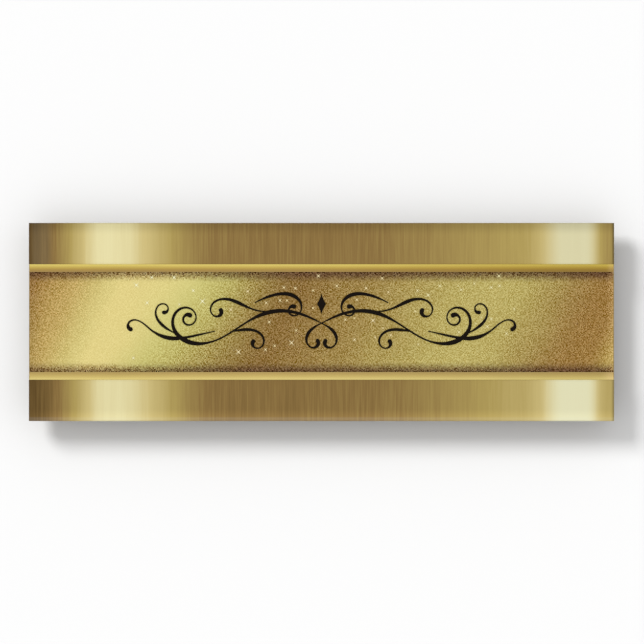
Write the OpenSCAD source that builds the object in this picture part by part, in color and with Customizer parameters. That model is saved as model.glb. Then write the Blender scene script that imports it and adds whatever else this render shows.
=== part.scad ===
// A worn nameplate lying on its back, face up.
// +X runs along its length, +Y to its upper edge as worn, +Z out of its face.
// A brass plate has a channel along its face. Two polished rails stand along the channel's sides,
// a glitter panel fills it between them, and a pen flourish in black enamel stands on the panel.
// A plain magnet bar is bonded to the back, and the badge rests on it.

/* [Plate] */
// Length of the plate
plate_length = 76.2; // [64:0.1:90]
// Width of the plate across both brushed bands
plate_width = 25.8; // [22:0.1:30]
// Thickness of the plate
plate_thick = 2.4; // [1.8:0.1:3]
// Depth of the channel in the face
channel_depth = 1.0; // [0.9:0.05:1.1]
// Radius of the plate's long and end edges
edge_radius = 0.2; // [0.1:0.05:0.4]

/* [Rails] */
// Width of each polished rail
rail_width = 1.0; // [0.8:0.05:1.4]
// How far the rail's crest stands above the brushed bands
rail_proud = 0.25; // [0.1:0.05:0.5]
// How far the rail falls from its crest to its inner edge
rail_fall = 0.28; // [0.1:0.02:0.34]
// Radius of the rail's crest on its outer side
crest_radius = 0.05; // [0.05:0.05:0.2]

/* [Glitter panel] */
// Width of the glitter panel
panel_width = 13.0; // [11:0.1:15]
// Thickness of the glitter panel
panel_thick = 0.5; // [0.3:0.05:0.6]

/* [Flourish] */
// Height of the enamel above its bed
enamel_thick = 0.2; // [0.1:0.05:0.3]
// Half width of the lozenge over the middle
lozenge_half_width = 0.62; // [0.4:0.02:0.8]
// Half height of the lozenge over the middle
lozenge_half_height = 1.35; // [1:0.05:1.6]
// Height of the lozenge's middle above the plate's centre line
lozenge_rise = 2.35; // [2.2:0.05:2.6]

/* [Magnet bar] */
// Length of the magnet bar
magnet_length = 45; // [40:1:50]
// Width of the magnet bar
magnet_width = 13; // [12:0.5:16]
// Thickness of the magnet bar
magnet_thick = 3.2; // [2.5:0.1:4]
// Radius of the magnet bar's corners
magnet_corner = 3; // [2:0.5:5]
// Chamfer round the magnet bar's resting face
magnet_chamfer = 0.4; // [0.2:0.1:0.6]

/* [Hidden] */

// Bond lines: each piece is this far clear of the next
bond = 0.05;
side_gap = 0.03;
enamel_gap = 0.03;
// The inlaid pieces stop this far short of the plate's ends
end_setback = 0.1;

// Heights above the surface that the badge rests on
plate_back = magnet_thick + bond;
face = plate_back + plate_thick;
channel_floor = face - channel_depth;
panel_base = channel_floor + bond;
panel_top = panel_base + panel_thick;
enamel_base = panel_top + enamel_gap;

channel_width = panel_width + 2 * (rail_width + 2 * side_gap);
inlay_length = plate_length - 2 * end_setback;
rail_inner = panel_width / 2 + side_gap;
rail_height = face + rail_proud - panel_base;
cut_margin = 1;

arc_sides = 48;
rail_arc_steps = 12;
lozenge_points = 48;
lozenge_pinch = 2.4;
least_steps = 5;
turn_per_step = 14;
cap_steps = 4;

// One half of the flourish. The other half is its mirror image.
// Each stroke is [start x, start y, start heading in degrees, knots],
// and each knot is [distance along the stroke, curvature per mm, stroke width].
half_strokes = [
    // long wave from the middle to the great curl
    [0, -0.15, 27, [
        [0, 0, 0.14], [3, -0.11, 0.36], [7, -0.15, 0.54], [11, -0.03, 0.22], [15, 0.13, 0.22],
        [19, 0.27, 0.60], [23, 0.50, 0.36], [27, 0.85, 0.18], [30, 1.55, 0.28], [31, 1.9, 0.62]]],
    // tail that crosses the wave on its way to the outer end
    [13.9, -1.2, -12, [
        [0, -0.02, 0.14], [3, 0.02, 0.30], [6, 0.22, 0.54], [8.8, 0.16, 0.22],
        [10.6, -0.46, 0.18], [12, -1.4, 0.26], [13.1, -2.1, 0.56]]],
    // curl back over the middle
    [8.7, 2.5, 152, [
        [0, 0.05, 0.14], [2.5, 0.12, 0.36], [5, 0.36, 0.50], [8, 0.90, 0.18],
        [10.2, 1.75, 0.24], [11, 2.0, 0.58]]],
    // small curl under the wave
    [11.9, -1.3, 168, [
        [0, 0, 0.14], [2, 0.16, 0.40], [4.2, 0.62, 0.30], [6.6, 1.35, 0.18], [7.9, 2.1, 0.54]]],
    // leaf that rises from the wave
    [6.6, 1.36, -2, [
        [0, 0.10, 0.14], [2.2, 0.20, 0.22], [4.6, -0.10, 0.46], [7.2, -0.50, 0.28],
        [9.6, -1.15, 0.18], [11.4, -2.1, 0.56]]],
    // heart under the middle
    [0, -0.15, 207, [
        [0, 0, 0.14], [2.2, 0.50, 0.42], [4, 1.05, 0.20], [5.9, 2.0, 0.52]]],
    // spray beyond the great curl
    [18.9, -1.55, 26, [
        [0, 0.04, 0.14], [2.2, 0.22, 0.38], [4.6, 0.80, 0.22], [6.6, 1.7, 0.18], [7.6, 2.3, 0.50]]]
];

// Running totals of a list, from zero
function running(v) = [for (i = 0, t = 0; i <= len(v); t = t + (i < len(v) ? v[i] : 0), i = i + 1) t];

// A smooth step from 0 to 1
function ease(t) = t * t * (3 - 2 * t);

// The row [distance, curvature, width] at place p among the knots: width eases from knot to knot
function knot_row(knots, p) =
    let (i = min(floor(p), len(knots) - 2), t = p - i, a = knots[i], b = knots[i + 1])
    [a[0] + (b[0] - a[0]) * t, a[1] + (b[1] - a[1]) * t, a[2] + (b[2] - a[2]) * ease(t)];

// Places along a stroke: the sharper the bend between two knots, the more steps it gets
function knot_places(knots) = concat([
    for (k = [0 : len(knots) - 2])
    let (
        turn = abs(knots[k][1] + knots[k + 1][1]) / 2 * (knots[k + 1][0] - knots[k][0]) * 180 / PI,
        steps = max(least_steps, ceil(turn / turn_per_step))
    )
    for (j = [0 : steps - 1]) k + j / steps
], [len(knots) - 1]);

// Rows [x, y, heading, width] along a stroke: the heading gathers curvature, and the point follows it
function stroke_rows(stroke) =
    let (
        rows = [for (p = knot_places(stroke[3])) knot_row(stroke[3], p)],
        last = len(rows) - 1,
        step = [for (i = [0 : last - 1]) rows[i + 1][0] - rows[i][0]],
        turn = [for (i = [0 : last - 1]) (rows[i + 1][1] + rows[i][1]) / 2 * step[i] * 180 / PI],
        gathered = running(turn),
        heading = [for (g = gathered) stroke[2] + g],
        mid = [for (i = [0 : last - 1]) (heading[i] + heading[i + 1]) / 2],
        x = running([for (i = [0 : last - 1]) cos(mid[i]) * step[i]]),
        y = running([for (i = [0 : last - 1]) sin(mid[i]) * step[i]])
    )
    [for (i = [0 : last]) [stroke[0] + x[i], stroke[1] + y[i], heading[i], rows[i][2]]];

// Rows that round off the end of a stroke with a half circle of its last width
function cap_rows(end) = [
    for (i = [1 : cap_steps])
    let (a = 90 * i / cap_steps, reach = end[3] / 2 * sin(a))
    [end[0] + cos(end[2]) * reach, end[1] + sin(end[2]) * reach, end[2], end[3] * cos(a)]
];

// The point beside a row, half the width to one side
function beside(row, side) =
    [row[0] - side * sin(row[2]) * row[3] / 2, row[1] + side * cos(row[2]) * row[3] / 2];

module stroke_outline(stroke) {
    body = stroke_rows(stroke);
    rows = concat(body, cap_rows(body[len(body) - 1]));
    last = len(rows) - 1;
    left = [for (row = rows) beside(row, 1)];
    right = [for (i = [1 : last]) beside(rows[last - i], -1)];
    polygon(concat(left, right));
}

module rounded_rectangle(width, height, radius) {
    square([width - 2 * radius, height], center = true);
    square([width, height - 2 * radius], center = true);
    for (sx = [-1, 1], sy = [-1, 1])
        translate([sx * (width / 2 - radius), sy * (height / 2 - radius)])
            circle(radius, $fn = arc_sides);
}

// Carries a shape drawn in Y and Z along X, centred
module along_x(length) {
    rotate([90, 0, 90])
        linear_extrude(length, center = true)
            children();
}

// Carries a shape drawn in X and Z along Y, centred
module along_y(length) {
    rotate([90, 0, 0])
        linear_extrude(length, center = true)
            children();
}

module plate() {
    color([0.62, 0.51, 0.31])
    difference() {
        translate([0, 0, plate_back + plate_thick / 2])
            intersection() {
                along_x(plate_length)
                    rounded_rectangle(plate_width, plate_thick, edge_radius);
                along_y(plate_width)
                    rounded_rectangle(plate_length, plate_thick, edge_radius);
            }
        translate([-plate_length / 2 - cut_margin, -channel_width / 2, channel_floor])
            cube([plate_length + 2 * cut_margin, channel_width, channel_depth + cut_margin]);
    }
}

// Crowned moulding: level at its crest on the outer side, falling in a circular arc to its inner edge.
// Drawn from its inner edge at zero out to rail_width.
module rail_profile() {
    run = rail_width - crest_radius;
    arc_radius = (run * run + rail_fall * rail_fall) / (2 * rail_fall);
    arc_angle = asin(run / arc_radius);
    slope = [
        for (i = [0 : rail_arc_steps])
        let (a = arc_angle * (1 - i / rail_arc_steps))
        [run - arc_radius * sin(a), rail_height - arc_radius * (1 - cos(a))]
    ];
    crest = [
        for (i = [1 : rail_arc_steps / 2])
        let (a = 180 * i / rail_arc_steps)
        [run + crest_radius * sin(a), rail_height - crest_radius * (1 - cos(a))]
    ];
    polygon(concat([[rail_width, 0], [0, 0]], slope, crest));
}

module rail() {
    color([0.76, 0.65, 0.36])
    translate([0, rail_inner, panel_base])
        along_x(inlay_length)
            rail_profile();
}

module rail_upper() {
    rail();
}

module rail_lower() {
    mirror([0, 1, 0])
        rail();
}

module glitter_panel() {
    color([0.63, 0.52, 0.29])
    translate([-inlay_length / 2, -panel_width / 2, panel_base])
        cube([inlay_length, panel_width, panel_thick]);
}

module flourish() {
    color([0.04, 0.035, 0.03])
    translate([0, 0, enamel_base])
        linear_extrude(enamel_thick)
            for (side = [0, 1])
                mirror([side, 0])
                    for (stroke = half_strokes)
                        stroke_outline(stroke);
}

// Four concave sides: each coordinate is a power of a cosine or sine
module lozenge() {
    color([0.04, 0.035, 0.03])
    translate([0, lozenge_rise, enamel_base])
        linear_extrude(enamel_thick)
            polygon([
                for (i = [0 : lozenge_points - 1])
                let (a = 360 * i / lozenge_points)
                [
                    lozenge_half_width * sign(cos(a)) * pow(abs(cos(a)), lozenge_pinch),
                    lozenge_half_height * sign(sin(a)) * pow(abs(sin(a)), lozenge_pinch)
                ]
            ]);
}

module magnet_bar() {
    color([0.70, 0.70, 0.69])
    intersection() {
        linear_extrude(magnet_thick)
            rounded_rectangle(magnet_length, magnet_width, magnet_corner);
        along_x(magnet_length + cut_margin)
            chamfered_section(magnet_width);
        along_y(magnet_width + cut_margin)
            chamfered_section(magnet_length);
    }
}

// Cross-section of the magnet bar with its two resting edges cut off at 45 degrees
module chamfered_section(width) {
    polygon([
        [-width / 2 + magnet_chamfer, 0],
        [width / 2 - magnet_chamfer, 0],
        [width / 2, magnet_chamfer],
        [width / 2, magnet_thick],
        [-width / 2, magnet_thick],
        [-width / 2, magnet_chamfer]
    ]);
}

plate();
rail_upper();
rail_lower();
glitter_panel();
flourish();
lozenge();
magnet_bar();
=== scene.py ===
"""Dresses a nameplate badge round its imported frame: brushed brass body, polished rails, a bed of gold
glitter with loose flakes and star glints, a pen flourish in black enamel, and a nickel-plated magnet
bar behind. Lengths are in millimetres, and turn to metres where a mesh is made. X runs along the plate,
Y up its face and Z out of it. The plate lies on its magnet bar, face up."""

import math

import bpy
import numpy as np
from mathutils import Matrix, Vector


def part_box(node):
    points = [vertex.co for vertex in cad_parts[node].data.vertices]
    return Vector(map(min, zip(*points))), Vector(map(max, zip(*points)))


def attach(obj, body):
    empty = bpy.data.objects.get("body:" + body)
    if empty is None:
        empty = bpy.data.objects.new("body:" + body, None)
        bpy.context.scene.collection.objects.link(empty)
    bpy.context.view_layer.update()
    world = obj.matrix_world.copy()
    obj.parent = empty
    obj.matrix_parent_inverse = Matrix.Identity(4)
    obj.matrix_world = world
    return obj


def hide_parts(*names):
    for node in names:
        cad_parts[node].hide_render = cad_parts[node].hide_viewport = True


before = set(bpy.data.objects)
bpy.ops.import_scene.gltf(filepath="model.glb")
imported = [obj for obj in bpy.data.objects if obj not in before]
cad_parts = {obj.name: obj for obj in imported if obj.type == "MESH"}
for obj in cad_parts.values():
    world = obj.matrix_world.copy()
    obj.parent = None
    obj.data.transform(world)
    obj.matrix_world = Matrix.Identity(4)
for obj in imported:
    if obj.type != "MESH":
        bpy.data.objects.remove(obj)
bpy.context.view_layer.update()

MM = 0.001
# Width of the photo's frame, and of the plate in it, in pixels
PHOTO_PIXELS = 644
PLATE_PIXELS = 585.4
# Sizes of the metalwork in millimetres
EDGE_RADIUS = 0.2
FLAT_START = 0.04
BOND_GAP = 0.05
WALL_GAP = 0.006
CREST_RADIUS = 0.05
RAIL_FALL = 0.28
# How finely the metalwork is divided
CORNER_STEPS = 6
CREST_STEPS = 4
SLOPE_STEPS = 14
PLATE_STATIONS = 36
RAIL_STATIONS = 41


def node_box(node):
    """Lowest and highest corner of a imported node, in millimetres."""
    low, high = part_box(node)
    return np.array(low) / MM, np.array(high) / MM


plate_low, plate_high = node_box("plate")
rail_low, rail_high = node_box("rail_upper")
panel_low, panel_high = node_box("glitter_panel")
enamel_low, enamel_high = node_box("flourish")
lozenge_low, lozenge_high = node_box("lozenge")
FACE = plate_high[2]
BACK = plate_low[2]
HALF_LENGTH = plate_high[0]
HALF_WIDTH = plate_high[1]


# Meshes


def make_object(name, points, faces, material, smooth_degrees=None):
    """A mesh object from points in millimetres and faces as lists of point numbers."""
    mesh = bpy.data.meshes.new(name)
    mesh.from_pydata((np.asarray(points) * MM).tolist(), [], faces)
    mesh.validate()
    mesh.materials.append(material)
    if smooth_degrees is not None:
        mesh.polygons.foreach_set("use_smooth", np.ones(len(mesh.polygons), bool))
        mesh.set_sharp_from_angle(angle=math.radians(smooth_degrees))
    body = bpy.data.objects.new(name, mesh)
    bpy.context.scene.collection.objects.link(body)
    return body


def dress(piece, slot, *nodes):
    """The piece rides on the badge and stands for the nodes it replaces, which it hides. Its slot is
    not used.
    """
    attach(piece, "root")
    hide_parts(*nodes)


def make_loft(name, rings, material, smooth_degrees=None):
    """A closed body from an array of rings: quads between neighbouring rings, and one face over each
    end ring. It faces outwards when each ring turns anticlockwise as seen from the last ring."""
    index = np.arange(rings.shape[0] * rings.shape[1]).reshape(rings.shape[:2])
    ahead = np.roll(index, -1, axis=1)
    quads = np.stack([index[:-1], ahead[:-1], ahead[1:], index[1:]], axis=-1).reshape(-1, 4)
    faces = quads.tolist() + [index[0, ::-1].tolist(), index[-1].tolist()]
    return make_object(name, rings.reshape(-1, 3), faces, material, smooth_degrees)


def fan(rings, tips):
    """Triangles from every side of each ring to the ring's own tip, all as point numbers. Read
    backwards, each faces the other way."""
    return np.stack([rings, np.roll(rings, -1, axis=1), np.broadcast_to(tips, rings.shape)], axis=-1)


def arc(centre, radius, start, end, steps):
    """Points on a circle from one angle to another, in degrees."""
    angle = np.radians(np.linspace(start, end, steps + 1))
    return np.stack([centre[0] + radius * np.cos(angle), centre[1] + radius * np.sin(angle)], axis=1)


def end_stations(half_length, radius, steps, inner):
    """Places along X that close up towards both ends on a quarter circle, then one just past it, where
    the flat face starts, with even ones between."""
    quarter = radius * (1 - np.cos(np.linspace(0, math.pi / 2, steps + 1)))
    left = -half_length + np.append(quarter, radius + FLAT_START)
    middle = np.linspace(left[-1], -left[-1], inner + 2)[1:-1]
    return np.concatenate([left, middle, -left[::-1]])


# Finishes


def paint(red, green, blue):
    """A screen colour from 0 to 255 as the linear colour that a shader takes."""
    share = np.array([red, green, blue]) / 255
    linear = np.where(share <= 0.04045, share / 12.92, ((share + 0.055) / 1.055) ** 2.4)
    return (*linear.tolist(), 1.0)


class Finish:
    """A material built up node by node. Its methods give back output sockets."""

    def __init__(self, name, roughness, metallic=1.0):
        self.material = bpy.data.materials.new(name)
        self.material.use_nodes = True
        self.tree = self.material.node_tree
        self.shader = self.tree.nodes["Principled BSDF"]
        self.shader.inputs["Roughness"].default_value = roughness
        self.shader.inputs["Metallic"].default_value = metallic

    def add(self, kind, **settings):
        made = self.tree.nodes.new(kind)
        for key, value in settings.items():
            setattr(made, key, value)
        return made

    def feed(self, socket, value):
        """Links an output to a socket, or writes a plain value on it."""
        if isinstance(value, bpy.types.NodeSocket):
            self.tree.links.new(value, socket)
        else:
            socket.default_value = value

    def set(self, name, value):
        self.feed(self.shader.inputs[name], value)

    def math(self, operation, a, b=0.0):
        made = self.add("ShaderNodeMath", operation=operation)
        self.feed(made.inputs[0], a)
        self.feed(made.inputs[1], b)
        return made.outputs[0]

    def plus(self, a, b):
        return self.math("ADD", a, b)

    def minus(self, a, b):
        return self.math("SUBTRACT", a, b)

    def times(self, a, b):
        return self.math("MULTIPLY", a, b)

    def weigh(self, start, *terms):
        """start plus each amount times its value."""
        total = start
        for amount, value in terms:
            total = self.plus(self.times(value, amount), total)
        return total

    def place(self):
        """The point's own coordinates in millimetres, as a vector."""
        scaled = self.add("ShaderNodeVectorMath", operation="SCALE")
        self.feed(scaled.inputs[0], self.add("ShaderNodeTexCoord").outputs["Object"])
        scaled.inputs["Scale"].default_value = 1 / MM
        return scaled.outputs[0]

    def axes(self, place):
        """x, y and z of a vector."""
        apart = self.add("ShaderNodeSeparateXYZ")
        self.feed(apart.inputs[0], place)
        return tuple(apart.outputs)

    def stored(self, name):
        """The number kept under this name on each face or point of the mesh."""
        return self.add("ShaderNodeAttribute", attribute_name=name).outputs["Fac"]

    def blend_range(self, value, low, high, start=0.0, end=1.0, kind="SMOOTHSTEP"):
        """Goes from start to end while the value goes from low to high, and stays level outside."""
        made = self.add("ShaderNodeMapRange", interpolation_type=kind)
        for socket, given in zip(made.inputs, (value, low, high, start, end)):
            self.feed(socket, given)
        return made.outputs[0]

    def window(self, value, start, full, fade, end):
        """A soft hill: up from start to full, level as far as fade, and down again by end."""
        up = self.blend_range(value, start, full)
        down = self.blend_range(value, fade, end, 1.0, 0.0)
        return self.times(up, down)

    def noise(self, place, stretch, detail=2.0):
        """Noise from 0 to 1 with cells about stretch millimetres along each axis."""
        scaled = self.add("ShaderNodeMapping", vector_type="POINT")
        self.feed(scaled.inputs["Vector"], place)
        scaled.inputs["Scale"].default_value = [1 / length for length in stretch]
        made = self.add("ShaderNodeTexNoise")
        self.feed(made.inputs["Vector"], scaled.outputs[0])
        made.inputs["Scale"].default_value = 1.0
        made.inputs["Detail"].default_value = detail
        return made.outputs["Fac"]

    def ramp(self, value, stops):
        """Screen colours at places from 0 to 1, blended between."""
        made = self.add("ShaderNodeValToRGB")
        band = made.color_ramp
        while len(band.elements) < len(stops):
            band.elements.new(1.0)
        for element, (place, colour) in zip(band.elements, stops):
            element.position = place
            element.color = paint(*colour)
        self.feed(made.inputs[0], value)
        return made.outputs[0]

    def mix(self, share, a, b, kind="MIX"):
        """a where the share is 0, and b, or a blended with b, where it is 1."""
        made = self.add("ShaderNodeMix", data_type="RGBA", blend_type=kind)
        self.feed(made.inputs[0], share)
        self.feed(made.inputs[6], a)
        self.feed(made.inputs[7], b)
        return made.outputs[2]

    def shade(self, colour, factor):
        """The colour times one number."""
        grey = self.add("ShaderNodeCombineColor")
        for socket in grey.inputs:
            self.feed(socket, factor)
        return self.mix(1.0, colour, grey.outputs[0], "MULTIPLY")

    def bump(self, height, strength, depth):
        """Relief of a given depth in millimetres, as shading."""
        made = self.add("ShaderNodeBump")
        made.inputs["Strength"].default_value = strength
        made.inputs["Distance"].default_value = depth * MM
        self.feed(made.inputs["Height"], height)
        self.set("Normal", made.outputs[0])


BRASS_TONES = [
    (0.0, (98, 76, 42)), (0.28, (140, 113, 66)), (0.56, (177, 156, 91)),
    (0.80, (208, 190, 128)), (1.0, (236, 228, 178))
]
# Width in millimetres of the painted light and shade at the upper and lower rims
RIM_LIGHT_WIDTH = 1.7


def band_tone(coat, x, lower_band, fine, coarse):
    """How light the bands are along the plate, from 0 to 1: up to a painted gleam at the left, down to
    bronze in the middle, slowly up, then up to a painted gleam at the right and down again. The two
    gleams are painted reflections. In the lower band the rises and the first fall lie half a millimetre
    further right, and the tone dips left of the middle and lifts to the right. The brush lines show
    most where the brass is dark."""
    along = coat.minus(x, coat.times(lower_band, 0.5))
    # painted reflections: a gleam rises and falls near each end of the bands
    left_rise = coat.blend_range(along, -37.6, -28.4)
    left_fall = coat.blend_range(along, -27.2, -13.6)
    slow_rise = coat.blend_range(along, 7.0, 25.0, kind="LINEAR")
    right_rise = coat.blend_range(along, 25.5, 31.0)
    right_fall = coat.blend_range(x, 34.6, 37.4)
    left_end = coat.blend_range(x, -36.4, -37.8)
    lower_dip = coat.window(x, -24.0, -14.0, -6.0, 4.0)
    lower_lift = coat.blend_range(x, 10.0, 30.0)
    lower_tone = coat.weigh(0.0, (-0.03, lower_dip), (0.11, lower_lift), (0.08, right_fall))
    tone = coat.weigh(
        0.0, (0.91, left_rise), (-0.69, left_fall), (0.27, slow_rise), (0.27, right_rise),
        (-0.37, right_fall), (-0.06, left_end), (lower_band, lower_tone), (0.08, coarse)
    )
    contrast = coat.blend_range(tone, 0.2, 0.75, 0.30, 0.06)
    return coat.plus(tone, coat.times(coat.minus(fine, 0.4), contrast))


def painted_end_gleam(coat, colour, x, y, lower_band, front):
    """The painted gleam at the right end, a painted reflection, turns to cream, more so in the lower
    band, and the left end of the upper band turns a little greyer."""
    # painted highlight: the right gleam, a painted reflection, is mixed towards cream
    gleam = coat.window(x, 28.3, 31.6, 34.4, 36.4)
    gleam = coat.times(gleam, coat.weigh(0.60, (0.15, lower_band)))
    cream = coat.mix(lower_band, paint(222, 222, 190), paint(230, 229, 194))
    colour = coat.mix(coat.times(gleam, front), colour, cream)
    left_greying = coat.window(x, -38.1, -37.2, -36.0, -34.6)
    left_greying = coat.times(left_greying, coat.blend_range(y, -2.0, 2.0, 0.0, 0.06))
    return coat.mix(coat.times(left_greying, front), colour, paint(200, 200, 178))


def painted_rim_light(coat, colour, tone, x, y, front):
    """Painted light and shade at the rims: painted shade darkens the brass towards the upper edge and
    in a thin line at the right edge, and painted light brightens it towards the lower edge, whose
    outermost strip gets a greyer painted highlight. The upper band is painted lighter than the lower
    one as a whole."""
    # painted shade darkens the upper and right edges; painted light brightens the lower edge and the
    # upper band
    drop = coat.blend_range(tone, 0.75, 1.0, 0.79, 0.87)
    upper_edge_shade = coat.blend_range(y, HALF_WIDTH - RIM_LIGHT_WIDTH, HALF_WIDTH - EDGE_RADIUS, 1.0, drop)
    lower_light_gain = coat.blend_range(tone, 0.35, 1.0, 1.28, 1.10)
    lower_edge_light = coat.blend_range(y, EDGE_RADIUS - HALF_WIDTH, RIM_LIGHT_WIDTH - HALF_WIDTH, lower_light_gain, 1.0)
    upper_band_light = coat.blend_range(y, -2.0, 2.0, 1.0, 1.055)
    right_shade_depth = coat.blend_range(y, -2.0, 2.0, 0.60, 0.45)
    face_x = coat.times(x, front)
    right_edge_shade = coat.blend_range(face_x, HALF_LENGTH - 0.46, HALF_LENGTH - 0.06, 1.0, right_shade_depth)
    for factor in (upper_edge_shade, lower_edge_light, upper_band_light, right_edge_shade):
        colour = coat.shade(colour, factor)
    # painted highlight along the lower rim, mixed towards pale grey
    lip_highlight = coat.times(coat.blend_range(y, 0.62 - HALF_WIDTH, 0.38 - HALF_WIDTH), 0.065)
    return coat.mix(coat.times(lip_highlight, front), colour, paint(215, 225, 225))


def brushed_brass():
    """Satin brass brushed across the plate: bronze in the middle of the face with a painted gleam, a
    painted reflection, near each end, painted light and shade along the rims, and a plain brushed tone
    along the sides."""
    coat = Finish("brushed_brass", roughness=0.36)
    place = coat.place()
    x, y, z = coat.axes(place)
    lower_band = coat.blend_range(y, 2.0, -6.0)
    front = coat.blend_range(z, FACE - 0.6, FACE - 0.15)
    fine = coat.noise(place, (0.24, 7.0, 3.0), detail=3.0)
    coarse = coat.noise(place, (1.1, 40.0, 6.0))
    side_tone = coat.weigh(0.30, (0.10, fine), (0.12, coarse))
    tone = coat.mix(front, side_tone, band_tone(coat, x, lower_band, fine, coarse))
    colour = coat.ramp(tone, BRASS_TONES)
    colour = painted_end_gleam(coat, colour, x, y, lower_band, front)
    coat.set("Base Color", painted_rim_light(coat, colour, tone, x, y, front))
    coat.bump(fine, strength=0.25, depth=0.004)
    return coat.material


def polished_brass():
    """Gold-toned rail with painted light and shade: a painted highlight along its crest on the outer
    side, painted shade towards the panel, deeper towards the right end, and a faint painted glint at
    the right tip. The lower rail is painted the lighter one."""
    coat = Finish("polished_brass", roughness=0.22)
    place = coat.place()
    x, y, _ = coat.axes(place)
    outward = coat.blend_range(coat.math("ABSOLUTE", y), rail_low[1], rail_high[1], kind="LINEAR")
    is_upper = coat.math("GREATER_THAN", y, 0.0)
    # painted highlight on the crest and painted shade down the slope; the lower rail is painted lighter
    upper = coat.ramp(outward, [
        (0.0, (196, 165, 102)), (0.2, (177, 145, 80)), (0.5, (194, 166, 84)), (0.95, (223, 203, 112))
    ])
    lower = coat.ramp(outward, [
        (0.0, (224, 196, 124)), (0.13, (200, 172, 104)), (0.5, (209, 184, 110)), (0.95, (227, 207, 130))
    ])
    colour = coat.mix(is_upper, lower, upper)
    upper_fade = coat.blend_range(x, -10.0, 38.0, 1.02, 0.78)
    lower_fade = coat.blend_range(x, -10.0, 38.0, 0.97, 0.84)
    fade = coat.mix(is_upper, lower_fade, upper_fade)
    drift = coat.noise(place, (5.0, 1.0, 1.0))
    colour = coat.shade(colour, coat.weigh(-0.05, (1.0, fade), (0.10, drift)))
    deep = coat.times(coat.blend_range(x, -10.0, 38.0), is_upper)
    colour = coat.mix(deep, colour, (1.0, 0.94, 0.68, 1.0), "MULTIPLY")
    # painted glint at the right tip of each rail
    upper_painted_glint = coat.times(coat.blend_range(x, 37.0, 37.7), 0.17)
    lower_painted_glint = coat.times(coat.blend_range(x, 36.2, 38.0), 0.36)
    glint = coat.mix(is_upper, lower_painted_glint, upper_painted_glint)
    coat.set("Base Color", coat.mix(glint, colour, paint(246, 212, 152)))
    coat.bump(coat.noise(place, (9.0, 0.08, 0.08)), strength=0.12, depth=0.002)
    return coat.material


GLITTER_TONES = [
    (0.0, (140, 113, 66)), (0.20, (161, 140, 84)), (0.45, (185, 173, 105)),
    (0.75, (206, 195, 123)), (1.0, (226, 211, 140))
]
# Slant of the panel's tone and its painted gleam, in millimetres along X per millimetre up Y
GLITTER_SLANT = 0.47
# Width in millimetres of the painted shade along the rails
RAIL_SHADE_WIDTH = 1.25


def glitter_tone(coat, place, along, x, y):
    """How light the gold is along the panel, from 0 to 1: up to a painted gleam near the left end, a
    painted reflection, down to bronze in the middle, up again to the right, down, and up in the lower
    right corner.
    The fall from the gleam starts on a steeper slant than it ends, and its end bows with the square of
    y."""
    # painted reflection: the gleam near the left end rises and falls
    left_rise = coat.blend_range(along, -42.5, -28.3, kind="LINEAR")
    fall_start = coat.weigh(-24.9, (0.95, y))
    fall_end = coat.weigh(-7.2, (0.60, y), (-0.05, coat.times(y, y)))
    left_fall = coat.blend_range(x, fall_start, fall_end)
    right_rise = coat.blend_range(along, -5.0, 19.0, kind="LINEAR")
    right_fall = coat.blend_range(along, 20.0, 34.0)
    corner_rise = coat.blend_range(along, 36.5, 41.5)
    blotch = coat.noise(place, (3.5, 3.5, 3.5), detail=3.0)
    return coat.weigh(
        -0.03, (0.98, left_rise), (-0.98, left_fall), (0.50, right_rise), (-0.36, right_fall),
        (0.40, corner_rise), (0.10, blotch)
    )


def rail_shade_strip(coat, place, x, y):
    """How much of the brown strip of painted shade there is, from 0 on the open panel to 1 at a rail:
    shade painted beside the rails, where the panel lies sunk below them. It is ragged, and a little
    narrower at the lower rail and beside the left gleam."""
    ragged = coat.noise(place, (0.5, 0.5, 0.5), detail=1.0)
    to_rail = coat.plus(coat.math("ABSOLUTE", y), coat.times(ragged, 0.5))
    to_rail = coat.plus(to_rail, coat.blend_range(y, -1.0, 1.0, -0.07, 0.0))
    beside_gleam = coat.window(x, -32.0, -25.0, -20.0, -13.0)
    narrower = coat.times(beside_gleam, coat.blend_range(y, -1.0, 1.0, 0.05, 0.12))
    rail = panel_high[1]
    return coat.blend_range(coat.minus(to_rail, narrower), rail - RAIL_SHADE_WIDTH, rail + 0.10)


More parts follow.
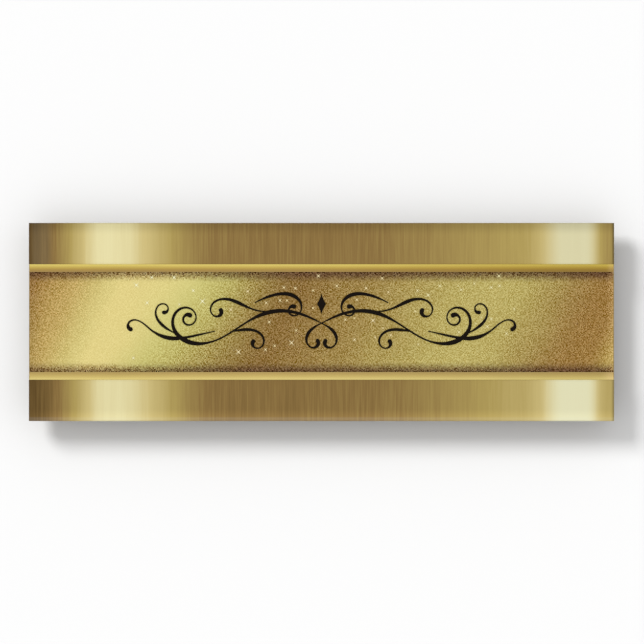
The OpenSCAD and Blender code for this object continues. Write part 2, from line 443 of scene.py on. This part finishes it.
def glitter_colour(coat, place, x, y):
    """Gold of the panel: its tone runs on a slant, with olive where it falls from the painted left
    gleam, warmer gold at both ends, brown strips of painted shade along the rails, a darker left end
    and a painted highlight along the right tip. Also gives how strongly the grain shows, least where
    the gold is palest and most at the rails, and how much of the painted rail shade there is."""
    along = coat.minus(x, coat.times(y, GLITTER_SLANT))
    tone = glitter_tone(coat, place, along, x, y)
    colour = coat.ramp(tone, GLITTER_TONES)
    olive = coat.window(along, -27.0, -19.0, -15.5, -4.5)
    colour = coat.mix(coat.times(olive, 0.30), colour, paint(202, 205, 124))
    left_warmth = coat.blend_range(along, -29.0, -36.0)
    right_warmth = coat.times(coat.blend_range(along, 28.0, 35.0), 0.6)
    colour = coat.mix(coat.plus(left_warmth, right_warmth), colour, (1.0, 0.84, 0.84, 1.0), "MULTIPLY")
    right_depth = coat.blend_range(along, 31.0, 35.5)
    colour = coat.mix(right_depth, colour, (0.97, 0.93, 0.86, 1.0), "MULTIPLY")
    # painted shade: brown strips along the rails
    strip = rail_shade_strip(coat, place, x, y)
    shade_brownness = coat.blend_range(x, -10.0, 10.0, 0.70, 0.79)
    brown = coat.mix(shade_brownness, colour, paint(84, 61, 53))
    colour = coat.mix(strip, colour, brown)
    colour = coat.shade(colour, coat.blend_range(x, -38.2, -36.0, 0.94, 1.08))
    # painted highlight along the right tip of the panel
    right_tip_highlight = coat.times(coat.blend_range(x, 36.9, 38.0), 0.18)
    colour = coat.mix(right_tip_highlight, colour, paint(248, 218, 160))
    grain = coat.blend_range(tone, 0.10, 0.85, 1.0, 0.14, kind="LINEAR")
    left_grain = coat.times(coat.blend_range(along, -27.5, -31.5), 0.12)
    grain = coat.math("MAXIMUM", coat.plus(grain, left_grain), coat.times(strip, 1.55))
    return colour, grain, strip


OPEN_SWING = (0.82, 1.0, 1.75)
RAIL_SHADE_SWING = (0.83, 1.0, 1.3)


def grainy_gold(name, roughness, contrast):
    """Gold whose facets differ: each has its own shade and its own warmth, kept on the mesh. The shade
    swings red, green and blue by unlike shares, blue the most, so that a lighter facet is also a paler
    one. Blue swings less in the strips of painted shade along the rails."""
    coat = Finish(name, roughness)
    place = coat.place()
    x, y, _ = coat.axes(place)
    colour, grain, strip = glitter_colour(coat, place, x, y)
    swing = coat.times(coat.stored("facet_shade"), coat.times(grain, contrast))
    own = coat.add("ShaderNodeCombineColor")
    for socket, open_share, rail_shade_share in zip(own.inputs, OPEN_SWING, RAIL_SHADE_SWING):
        share = coat.blend_range(strip, 0.2, 0.8, open_share, rail_shade_share)
        coat.feed(socket, coat.weigh(1.0, (share, swing)))
    colour = coat.mix(1.0, colour, own.outputs[0], "MULTIPLY")
    warm = coat.times(coat.weigh(0.22, (0.35, coat.stored("facet_warmth"))), grain)
    coat.set("Base Color", coat.mix(warm, colour, (1.0, 0.78, 0.56, 1.0), "MULTIPLY"))
    return coat.material


def star_glint_foil():
    """Champagne foil of the star glints, whose paleness is a painted glint: the larger a star is, the
    paler.
    Near the painted left gleam the stars are painted paler still, a painted highlight, and those on the
    right half are a little less rosy."""
    coat = Finish("star_glint_foil", roughness=0.25)
    place = coat.place()
    x, _, _ = coat.axes(place)
    size = coat.stored("facet_shade")
    drift = coat.noise(place, (0.3, 0.3, 0.3))
    pale = coat.mix(drift, paint(252, 238, 194), paint(244, 224, 170))
    # painted glint: the larger the star, the paler its foil
    colour = coat.mix(coat.blend_range(size, 0.0, 1.0), paint(234, 214, 156), pale)
    colour = coat.mix(coat.blend_range(x, 10.0, 14.0), colour, (0.97, 1.05, 1.0, 1.0), "MULTIPLY")
    # painted highlight: stars near the painted left gleam are mixed towards white
    gleam_whitening = coat.times(coat.blend_range(x, -12.0, -15.0), coat.blend_range(size, 0.0, 0.8, 0.5, 1.0))
    coat.set("Base Color", coat.mix(gleam_whitening, colour, paint(255, 252, 208)))
    return coat.material


def black_enamel():
    """Glossy black with a faint orange-peel surface."""
    coat = Finish("black_enamel", roughness=0.28, metallic=0.0)
    place = coat.place()
    cloud = coat.noise(place, (0.8, 0.8, 0.8))
    coat.set("Base Color", coat.mix(cloud, paint(8, 4, 2), paint(14, 8, 4)))
    coat.set("Specular IOR Level", 0.06)
    coat.bump(coat.noise(place, (0.12, 0.12, 0.12)), strength=0.15, depth=0.004)
    return coat.material


def nickel_plate():
    """Satin nickel with faint scratches along the bar."""
    coat = Finish("nickel_plate", roughness=0.30)
    place = coat.place()
    scratch = coat.noise(place, (8.0, 0.12, 0.12))
    cloud = coat.noise(place, (6.0, 6.0, 6.0))
    tone = coat.weigh(0.0, (0.5, scratch), (0.5, cloud))
    coat.set("Base Color", coat.mix(tone, paint(176, 173, 166), paint(212, 210, 205)))
    coat.bump(scratch, strength=0.15, depth=0.003)
    return coat.material


# Plate


def plate_section():
    """The body's cross-section as (y, z), anticlockwise seen from +X: rounded outer corners, and the
    channel sunk between the two bands, whose walls stand a hair clear of the rails. A point just past
    each corner starts the flat face, so that only the corner shades as round."""
    floor = panel_low[2] - BOND_GAP
    wall = rail_high[1] + WALL_GAP
    side = HALF_WIDTH - EDGE_RADIUS
    flat = EDGE_RADIUS + FLAT_START
    right = np.concatenate([
        [[HALF_WIDTH - flat, BACK]],
        arc((side, BACK + EDGE_RADIUS), EDGE_RADIUS, -90, 0, CORNER_STEPS),
        [[HALF_WIDTH, BACK + flat], [HALF_WIDTH, FACE - flat]],
        arc((side, FACE - EDGE_RADIUS), EDGE_RADIUS, 0, 90, CORNER_STEPS),
        [[HALF_WIDTH - flat, FACE], [wall, FACE], [wall, floor]]
    ])
    left = right[::-1] * [-1, 1]
    return np.concatenate([right, left])


def make_plate(material):
    """The section carried along X. Within an edge radius of either end its heights are held inside a
    quarter circle, so the end edges are as round as the long ones."""
    section = plate_section()
    stations = end_stations(HALF_LENGTH, EDGE_RADIUS, CORNER_STEPS, PLATE_STATIONS)
    inset = np.clip(np.abs(stations) - (HALF_LENGTH - EDGE_RADIUS), 0, EDGE_RADIUS)
    drop = EDGE_RADIUS - np.sqrt(EDGE_RADIUS * EDGE_RADIUS - inset * inset)
    rings = np.empty((len(stations), len(section), 3))
    rings[..., 0] = stations[:, None]
    rings[..., 1] = section[:, 0]
    rings[..., 2] = np.clip(section[:, 1], (BACK + drop)[:, None], (FACE - drop)[:, None])
    return make_loft("plate_body", rings, material, smooth_degrees=40)


# Rails


def rail_section():
    """(y, z) of the upper rail, anticlockwise seen from +X: an upright outer side, a small round crest,
    and a circular arc, level at the crest, that falls to the inner edge and ends in an upright inner
    side."""
    low, high = rail_low[1:], rail_high[1:]
    run = high[0] - low[0] - CREST_RADIUS
    radius = (run * run + RAIL_FALL * RAIL_FALL) / (2 * RAIL_FALL)
    reach = np.degrees(np.arcsin(run / radius))
    slope = arc((low[0] + run, high[1] - radius), radius, 90, 90 + reach, SLOPE_STEPS)
    centre = high[0] - CREST_RADIUS, high[1] - CREST_RADIUS
    crest = arc(centre, CREST_RADIUS, 0, 90, CREST_STEPS)[:-1]
    return np.concatenate([[[low[0], low[1]], [high[0], low[1]]], crest, slope])


def make_rail(name, side, material):
    """The rail's section along X, mirrored in Y for the lower rail, with square ends."""
    section = rail_section()[::side]
    stations = np.linspace(-rail_high[0], rail_high[0], RAIL_STATIONS)
    rings = np.empty((len(stations), len(section), 3))
    rings[..., 0] = stations[:, None]
    rings[..., 1:] = section * [side, 1]
    return make_loft(name, rings, material, smooth_degrees=50)


# Glitter

BED_COLUMNS = 560
BED_ROWS = 96
# The bed's top lies this far below the panel's, and its points move by so much up or down, in
# millimetres, and sideways by so many columns
BED_DEPTH = 0.05
BED_LIFT = 0.004
BED_SHIFT = 0.33
# Flakes in millimetres, and their steepest tilt in degrees
FLAKE_PITCH = 0.30
FLAKE_RADIUS = 0.045
FLAKE_SINK = 0.03
FLAKE_POINT = 0.08
FLAKE_MARGINS = (0.15, 0.12)
FLAKE_TILT = 6.0
FLAKE_SIDES = 6


def own_numbers(piece, domain, name, values):
    """Keeps one number for each face or point on the mesh."""
    kept = piece.data.attributes.new(name, "FLOAT", domain)
    kept.data.foreach_set("value", values.astype(np.float32))


def bed_shades(rng):
    """A random number for each facet less half the mean of its four neighbours', so that light and dark
    alternate."""
    shade = rng.uniform(-1, 1, (BED_COLUMNS - 1, BED_ROWS - 1))
    around = sum(np.roll(shade, step, axis) for step in (1, -1) for axis in (0, 1)) / 4
    return shade - 0.5 * around


def make_glitter_bed(material, rng):
    """A closed strip whose top is a sheet of small facets: a fine grid with every inner point moved and
    lifted by its own amount. The rim of the grid is dropped to the base, and one face closes the
    underside."""
    half_x, half_y = panel_high[0], panel_high[1]
    places = np.linspace(-half_x, half_x, BED_COLUMNS), np.linspace(-half_y, half_y, BED_ROWS)
    x, y = np.meshgrid(*places, indexing="ij")
    pitch = 2 * half_x / (BED_COLUMNS - 1)
    inside = np.zeros(x.shape, bool)
    inside[1:-1, 1:-1] = True
    x = x + inside * rng.uniform(-BED_SHIFT, BED_SHIFT, x.shape) * pitch
    y = y + inside * rng.uniform(-BED_SHIFT, BED_SHIFT, x.shape) * pitch
    z = panel_high[2] - BED_DEPTH + inside * rng.uniform(-BED_LIFT, BED_LIFT, x.shape)
    top = np.stack([x, y, z], axis=-1).reshape(-1, 3)
    index = np.arange(len(top)).reshape(x.shape)
    corners = index[:-1, :-1], index[1:, :-1], index[1:, 1:], index[:-1, 1:]
    quads = np.stack(corners, axis=-1).reshape(-1, 4)
    rim = np.concatenate([index[:-1, 0], index[-1, :-1], index[:0:-1, -1], index[0, :0:-1]])
    base = top[rim] * [1, 1, 0] + [0, 0, panel_low[2]]
    low = len(top) + np.arange(len(rim))
    walls = np.stack([low, np.roll(low, -1), np.roll(rim, -1), rim], axis=-1)
    faces = quads.tolist() + walls.tolist() + [low[::-1].tolist()]
    piece = make_object("glitter_bed", np.concatenate([top, base]), faces, material)
    shades = np.zeros(len(faces))
    shades[:len(quads)] = bed_shades(rng).ravel()
    own_numbers(piece, "FACE", "facet_shade", shades)
    own_numbers(piece, "FACE", "facet_warmth", rng.uniform(0, 1, len(faces)) ** 2)
    return piece


def make_flakes(material, rng):
    """Loose flakes on a jittered grid. Each is a six-sided disc with a short point below that holds it
    in the bed, turned and tilted by its own angles. The widest are twice as wide as the smallest, and
    small ones are the most common."""
    reach_x, reach_y = panel_high[0] - FLAKE_MARGINS[0], panel_high[1] - FLAKE_MARGINS[1]
    columns, rows = np.arange(-reach_x, reach_x, FLAKE_PITCH), np.arange(-reach_y, reach_y, FLAKE_PITCH)
    grid_x, grid_y = np.meshgrid(columns, rows)
    centres = np.stack([grid_x.ravel(), grid_y.ravel()], axis=1)
    count = len(centres)
    centres = centres + rng.uniform(-FLAKE_PITCH / 2, FLAKE_PITCH / 2, (count, 2))
    centres = np.clip(centres, [-reach_x, -reach_y], [reach_x, reach_y])
    level = panel_high[2] - rng.uniform(0.0, FLAKE_SINK, count)
    radius = FLAKE_RADIUS + FLAKE_RADIUS * rng.uniform(0, 1, count) ** 2
    spin = rng.uniform(0, 2 * np.pi, count)
    tilt = np.radians(FLAKE_TILT) * np.sqrt(rng.uniform(0, 1, count))
    lean = rng.uniform(0, 2 * np.pi, count)
    angle = spin[:, None] + np.arange(FLAKE_SIDES) * 2 * np.pi / FLAKE_SIDES
    dx, dy = radius[:, None] * np.cos(angle), radius[:, None] * np.sin(angle)
    dz = np.tan(tilt)[:, None] * (dx * np.cos(lean)[:, None] + dy * np.sin(lean)[:, None])
    rim = np.stack([centres[:, :1] + dx, centres[:, 1:] + dy, level[:, None] + dz], axis=-1)
    tip = np.stack([centres[:, 0], centres[:, 1], level - FLAKE_POINT], axis=-1)[:, None]
    points = np.concatenate([rim, tip], axis=1).reshape(-1, 3)
    each = FLAKE_SIDES + 1
    first = each * np.arange(count)[:, None]
    discs = first + np.arange(FLAKE_SIDES)
    sides = fan(discs, first + FLAKE_SIDES)[..., ::-1].reshape(-1, 3)
    piece = make_object("glitter_flakes", points, discs.tolist() + sides.tolist(), material)
    own_numbers(piece, "POINT", "facet_shade", np.repeat(rng.uniform(-1, 1, count), each))
    own_numbers(piece, "POINT", "facet_warmth", np.repeat(rng.uniform(0, 1, count) ** 2, each))
    return piece


# Star glints: place along X and Y, and width, in millimetres, laid out clear of the flourish
STARS = [
    (-24.1, 4.8, 1.3), (-22.1, 5.8, 0.8), (-19.2, 5.8, 1.0), (-16.7, 4.1, 0.8), (-15.5, 2.7, 1.4),
    (-22.7, 2.5, 0.9), (-18.5, 2.3, 0.6), (-24.5, -4.7, 0.7), (-9.6, 4.0, 0.8), (-4.9, 4.5, 0.8),
    (-3.4, 4.4, 0.8), (-7.2, 2.5, 0.8), (-5.4, 2.8, 0.8), (-4.5, 2.8, 0.7), (-11.8, 1.6, 0.8),
    (-6.8, 0.0, 0.8), (-3.3, -1.1, 0.7), (-3.9, -2.7, 1.2), (-6.1, -3.1, 0.7), (-7.3, -3.6, 0.8),
    (-10.8, -3.9, 1.3), (-1.1, 4.1, 0.7), (-1.1, 1.8, 0.7), (-0.4, 6.0, 0.9), (2.0, 4.7, 0.8),
    (5.8, 4.4, 0.8), (7.9, 5.7, 0.8), (4.6, 2.9, 0.7), (8.7, 3.9, 0.7), (6.7, 0.2, 1.2),
    (4.3, 0.5, 0.6), (3.1, 0.3, 0.7), (4.3, -2.3, 0.8), (7.0, -2.0, 0.6), (9.0, -1.7, 0.7),
    (8.0, -0.8, 0.6), (12.5, 4.1, 0.8), (15.4, 4.7, 0.8), (18.2, 4.2, 0.8), (17.8, 4.7, 0.5),
    (19.9, 5.0, 0.7), (22.1, 4.5, 0.9), (23.2, 4.7, 0.8), (23.1, 6.0, 0.9), (13.9, 3.5, 1.0),
    (12.2, 1.4, 0.7), (25.1, 1.7, 0.7), (20.8, 0.6, 0.6), (22.1, 0.4, 0.8), (20.1, -0.2, 0.5),
    (21.6, -0.6, 0.9), (17.9, -1.3, 0.8), (24.1, -1.5, 0.8), (12.6, -2.9, 0.6)
]
STAR_STEPS = 16
# Heights over the panel's top
STAR_RIM = 0.06
STAR_PEAK = 0.075
STAR_FOOT = -0.02


def make_stars(material):
    """Foil stars with four thin points on the diagonals: the rim goes round in sixteen steps, every
    fourth one reaches out nearly to half the width, and the rest stay on a small circle. The middle
    rises to a blunt peak and is closed by a short foot below. The number kept on each star goes from 0
    where it is half a millimetre wide to 1 where it is a whole one."""
    table = np.array(STARS)
    step = np.arange(STAR_STEPS)
    turns = np.pi / 4 + step * 2 * np.pi / STAR_STEPS
    centre_x, centre_y, width = table[:, :1], table[:, 1:2], table[:, 2:]
    reach = np.where(step % 4 == 0, 0.46 * width, 0.07 + 0.03 * width)
    points = np.empty((len(table), STAR_STEPS + 2, 3))
    points[..., 0] = centre_x
    points[..., 1] = centre_y
    points[:, :-2, 0] += reach * np.cos(turns)
    points[:, :-2, 1] += reach * np.sin(turns)
    points[:, :-2, 2] = panel_high[2] + STAR_RIM
    points[:, -2:, 2] = panel_high[2] + np.array([STAR_PEAK, STAR_FOOT])
    first = (STAR_STEPS + 2) * np.arange(len(table))[:, None]
    rings = first + step
    above = fan(rings, first + STAR_STEPS)
    below = fan(rings, first + STAR_STEPS + 1)[..., ::-1]
    faces = np.concatenate([above, below]).reshape(-1, 3).tolist()
    piece = make_object("star_glints", points.reshape(-1, 3), faces, material)
    own_numbers(piece, "POINT", "facet_shade", np.repeat((table[:, 2] - 0.5) / 0.5, STAR_STEPS + 2))
    return piece


# Right half of the flourish, in millimetres and degrees: start x and y, start heading, and knots of
# (distance, curvature, stroke width)
HALF_STROKES = [
    (0.0, -0.15, 27, [
        (0, 0, 0.14), (3, -0.11, 0.36), (7, -0.15, 0.54), (11, -0.03, 0.22), (15, 0.13, 0.22),
        (19, 0.27, 0.60), (23, 0.50, 0.36), (27, 0.85, 0.18), (30, 1.55, 0.28), (31, 1.9, 0.62)]),
    (13.9, -1.2, -12, [
        (0, -0.02, 0.14), (3, 0.02, 0.30), (6, 0.22, 0.54), (8.8, 0.16, 0.22),
        (10.6, -0.46, 0.18), (12, -1.4, 0.26), (13.1, -2.1, 0.56)]),
    (8.7, 2.5, 152, [
        (0, 0.05, 0.14), (2.5, 0.12, 0.36), (5, 0.36, 0.50), (8, 0.90, 0.18),
        (10.2, 1.75, 0.24), (11, 2.0, 0.58)]),
    (11.9, -1.3, 168, [
        (0, 0, 0.14), (2, 0.16, 0.40), (4.2, 0.62, 0.30), (6.6, 1.35, 0.18), (7.9, 2.1, 0.54)]),
    (6.6, 1.36, -2, [
        (0, 0.10, 0.14), (2.2, 0.20, 0.22), (4.6, -0.10, 0.46), (7.2, -0.50, 0.28),
        (9.6, -1.15, 0.18), (11.4, -2.1, 0.56)]),
    (0.0, -0.15, 207, [
        (0, 0, 0.14), (2.2, 0.50, 0.42), (4, 1.05, 0.20), (5.9, 2.0, 0.52)]),
    (18.9, -1.55, 26, [
        (0, 0.04, 0.14), (2.2, 0.22, 0.38), (4.6, 0.80, 0.22), (6.6, 1.7, 0.18), (7.6, 2.3, 0.50)])
]
STROKE_STEP = 0.11
CAP_STEPS = 5
ACROSS_POINTS = 11
DOME_POWER = 2.6


def walk_stroke(start_x, start_y, heading, knots):
    """Rows of (x, y, heading, width) along a stroke. Curvature runs straight from knot to knot and
    width eases; the heading is the running sum of curvature times step, and the point follows the
    heading. The end is closed by a half-round cap, as wide as a cosine and as long as a sine of the
    same angle."""
    knots = np.array(knots, float)
    distance = np.linspace(0, knots[-1, 0], int(knots[-1, 0] / STROKE_STEP) + 1)
    curvature = np.interp(distance, knots[:, 0], knots[:, 1])
    before = np.clip(np.searchsorted(knots[:, 0], distance, side="right") - 1, 0, len(knots) - 2)
    share = (distance - knots[before, 0]) / (knots[before + 1, 0] - knots[before, 0])
    share = share * share * (3 - 2 * share)
    width = knots[before, 2] + share * (knots[before + 1, 2] - knots[before, 2])
    step = np.diff(distance)
    turn = np.concatenate([[0], np.cumsum((curvature[1:] + curvature[:-1]) / 2 * step)])
    angle = math.radians(heading) + turn
    middle = (angle[1:] + angle[:-1]) / 2
    x = start_x + np.concatenate([[0], np.cumsum(np.cos(middle) * step)])
    y = start_y + np.concatenate([[0], np.cumsum(np.sin(middle) * step)])
    cap = np.linspace(0, math.pi / 2, CAP_STEPS + 1)[1:-1]
    reach = width[-1] / 2 * np.sin(cap)
    x = np.concatenate([x, x[-1] + math.cos(angle[-1]) * reach])
    y = np.concatenate([y, y[-1] + math.sin(angle[-1]) * reach])
    width = np.concatenate([width, width[-1] * np.cos(cap)])
    angle = np.concatenate([angle, np.full(len(cap), angle[-1])])
    return np.stack([x, y, angle, width], axis=1)


def stroke_rings(rows, side):
    """Rings across a stroke: a flat foot, drawn in a little, and a domed top that starts a quarter of
    the way up. The dome is one minus a power of the distance from the middle, brought back by the same
    root. Wide stretches stand a little higher than hairlines."""
    across = np.linspace(1, -1, ACROSS_POINTS)
    dome = (1 - np.abs(across) ** DOME_POWER) ** (1 / DOME_POWER)
    x, y, angle, width = rows.T
    low, high = enamel_low[2], enamel_high[2]
    height = (high - low) * (0.62 + 0.38 * np.clip(width / 0.5, 0, 1))
    offset = np.concatenate([across, [-0.96, 0.96]])
    lift = np.concatenate([0.25 + 0.75 * dome, [0, 0]])
    rings = np.empty((len(rows), len(offset), 3))
    rings[..., 0] = side * (x[:, None] - np.sin(angle)[:, None] * width[:, None] / 2 * offset)
    rings[..., 1] = y[:, None] + np.cos(angle)[:, None] * width[:, None] / 2 * offset
    rings[..., 2] = low + height[:, None] * lift
    return rings if side > 0 else rings[::-1]


def make_flourish(material):
    """Every stroke and its mirror image as a closed body, then all of them fused into one."""
    parts = []
    for number, stroke in enumerate(HALF_STROKES):
        for side in (1, -1):
            rings = stroke_rings(walk_stroke(*stroke), side)
            parts.append(make_loft(f"stroke_{number}_{side}", rings, material))
    whole = parts[0]
    for part in parts[1:]:
        fuse = whole.modifiers.new("fuse", "BOOLEAN")
        fuse.operation = "UNION"
        fuse.solver = "MANIFOLD"
        fuse.object = part
    bpy.context.view_layer.update()
    mesh = bpy.data.meshes.new_from_object(whole.evaluated_get(bpy.context.evaluated_depsgraph_get()))
    mesh.polygons.foreach_set("use_smooth", np.ones(len(mesh.polygons), bool))
    mesh.set_sharp_from_angle(angle=math.radians(55))
    mesh.name = "flourish_enamel"
    flourish = bpy.data.objects.new("flourish_enamel", mesh)
    bpy.context.scene.collection.objects.link(flourish)
    for part in parts:
        bpy.data.objects.remove(part)
    return flourish


LOZENGE_POINTS = 64
LOZENGE_POWER = 2.4


def make_lozenge(material):
    """Concave-sided lozenge: rings from the rim to the peak follow one outline, whose coordinates are
    powers of a cosine and a sine, and rise on a rounded curve."""
    half = (lozenge_high - lozenge_low) / 2
    middle = (lozenge_high + lozenge_low) / 2
    angle = np.linspace(0, 2 * math.pi, LOZENGE_POINTS, endpoint=False)
    circle = np.stack([np.cos(angle), np.sin(angle)], axis=1)
    outline = half[:2] * np.sign(circle) * np.abs(circle) ** LOZENGE_POWER
    share = np.array([1, 1, 0.97, 0.9, 0.8, 0.65, 0.45, 0.2])
    rise = np.array([0, 0.25, 0.45, 0.62, 0.76, 0.88, 0.96, 1.0]) * (lozenge_high[2] - lozenge_low[2])
    rings = np.empty((len(share), LOZENGE_POINTS, 3))
    rings[..., :2] = middle[:2] + share[:, None, None] * outline
    rings[..., 2] = lozenge_low[2] + rise[:, None]
    return make_loft("lozenge_enamel", rings, material, smooth_degrees=50)


# The badge

SEED = 20

rng = np.random.default_rng(SEED)
brass = brushed_brass()
gold = polished_brass()
enamel = black_enamel()
dress(make_plate(brass), "brushed_brass", "plate")
dress(make_rail("rail_bar_upper", 1, gold), "polished_brass", "rail_upper")
dress(make_rail("rail_bar_lower", -1, gold), "polished_brass", "rail_lower")
dress(make_glitter_bed(grainy_gold("glitter_bed", 0.42, 0.68), rng), "gold_glitter", "glitter_panel")
dress(make_flakes(grainy_gold("glitter_flake", 0.36, 0.32), rng), "gold_glitter")
dress(make_stars(star_glint_foil()), "gold_glitter")
dress(make_flourish(enamel), "black_enamel", "flourish")
dress(make_lozenge(enamel), "black_enamel", "lozenge")

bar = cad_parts["magnet_bar"]
bar.data.materials.clear()
bar.data.materials.append(nickel_plate())


# Studio

FLOOR_REACH = 1500
CAMERA_HEIGHT = 900
CAMERA_SHIFT = 0.065
SENSOR_WIDTH = 36


def make_floor():
    """A plain pale sheet, far wider than the view."""
    coat = Finish("studio_floor", roughness=0.9, metallic=0.0)
    coat.set("Base Color", (0.52, 0.52, 0.52, 1.0))
    coat.set("Specular IOR Level", 0.1)
    corners = FLOOR_REACH * np.array([(-1, -1, 0), (1, -1, 0), (1, 1, 0), (-1, 1, 0)])
    make_object("studio_floor", corners, [[0, 1, 2, 3]], coat.material)


def make_sky():
    """Soft white dome, from three fifths of its strength at the horizon to the whole overhead."""
    world = bpy.data.worlds.new("studio_dome")
    bpy.context.scene.world = world
    world.use_nodes = True
    tree = world.node_tree
    direction = tree.nodes.new("ShaderNodeTexCoord").outputs["Generated"]
    apart = tree.nodes.new("ShaderNodeSeparateXYZ")
    tree.links.new(direction, apart.inputs[0])
    fade = tree.nodes.new("ShaderNodeMapRange")
    for socket, value in zip(list(fade.inputs)[1:5], (0.0, 1.0, 0.60, 1.0)):
        socket.default_value = value
    tree.links.new(apart.outputs[2], fade.inputs[0])
    tree.links.new(fade.outputs[0], tree.nodes["Background"].inputs["Strength"])
    tree.nodes["Background"].inputs["Color"].default_value = (1, 1, 1, 1)


def make_lamp(name, energy, spread, to_right, downwards):
    """A sun, spread over so many degrees, whose shadows fall to the right and down the picture by these
    shares of the height that throws them. It is kept out of reflections, as a polarising filter does,
    so the metal only mirrors the soft dome."""
    light = bpy.data.lights.new(name, "SUN")
    light.energy = energy
    light.angle = math.radians(spread)
    lamp = bpy.data.objects.new(name, light)
    bpy.context.scene.collection.objects.link(lamp)
    lean = math.atan(to_right)
    lamp.rotation_euler = (-math.atan(downwards * math.cos(lean)), -lean, 0)
    lamp.visible_glossy = False


def make_camera():
    """Straight above the face, so that the plate fills as much of the frame as it does in the photo."""
    data = bpy.data.cameras.new("camera")
    camera = bpy.data.objects.new("camera", data)
    bpy.context.scene.collection.objects.link(camera)
    bpy.context.scene.camera = camera
    width = 2 * HALF_LENGTH * PHOTO_PIXELS / PLATE_PIXELS
    data.sensor_width = SENSOR_WIDTH
    data.lens = SENSOR_WIDTH * CAMERA_HEIGHT / width
    data.clip_start = 0.01
    data.clip_end = 10
    camera.location = (CAMERA_SHIFT * MM, 0, (FACE + CAMERA_HEIGHT) * MM)


make_floor()
make_sky()
make_lamp("key_light", energy=3.2, spread=20, to_right=0.71, downwards=0.65)
make_lamp("fill_light", energy=0.95, spread=110, to_right=0, downwards=0)
make_camera()
bpy.context.scene.view_settings.view_transform = "Standard"
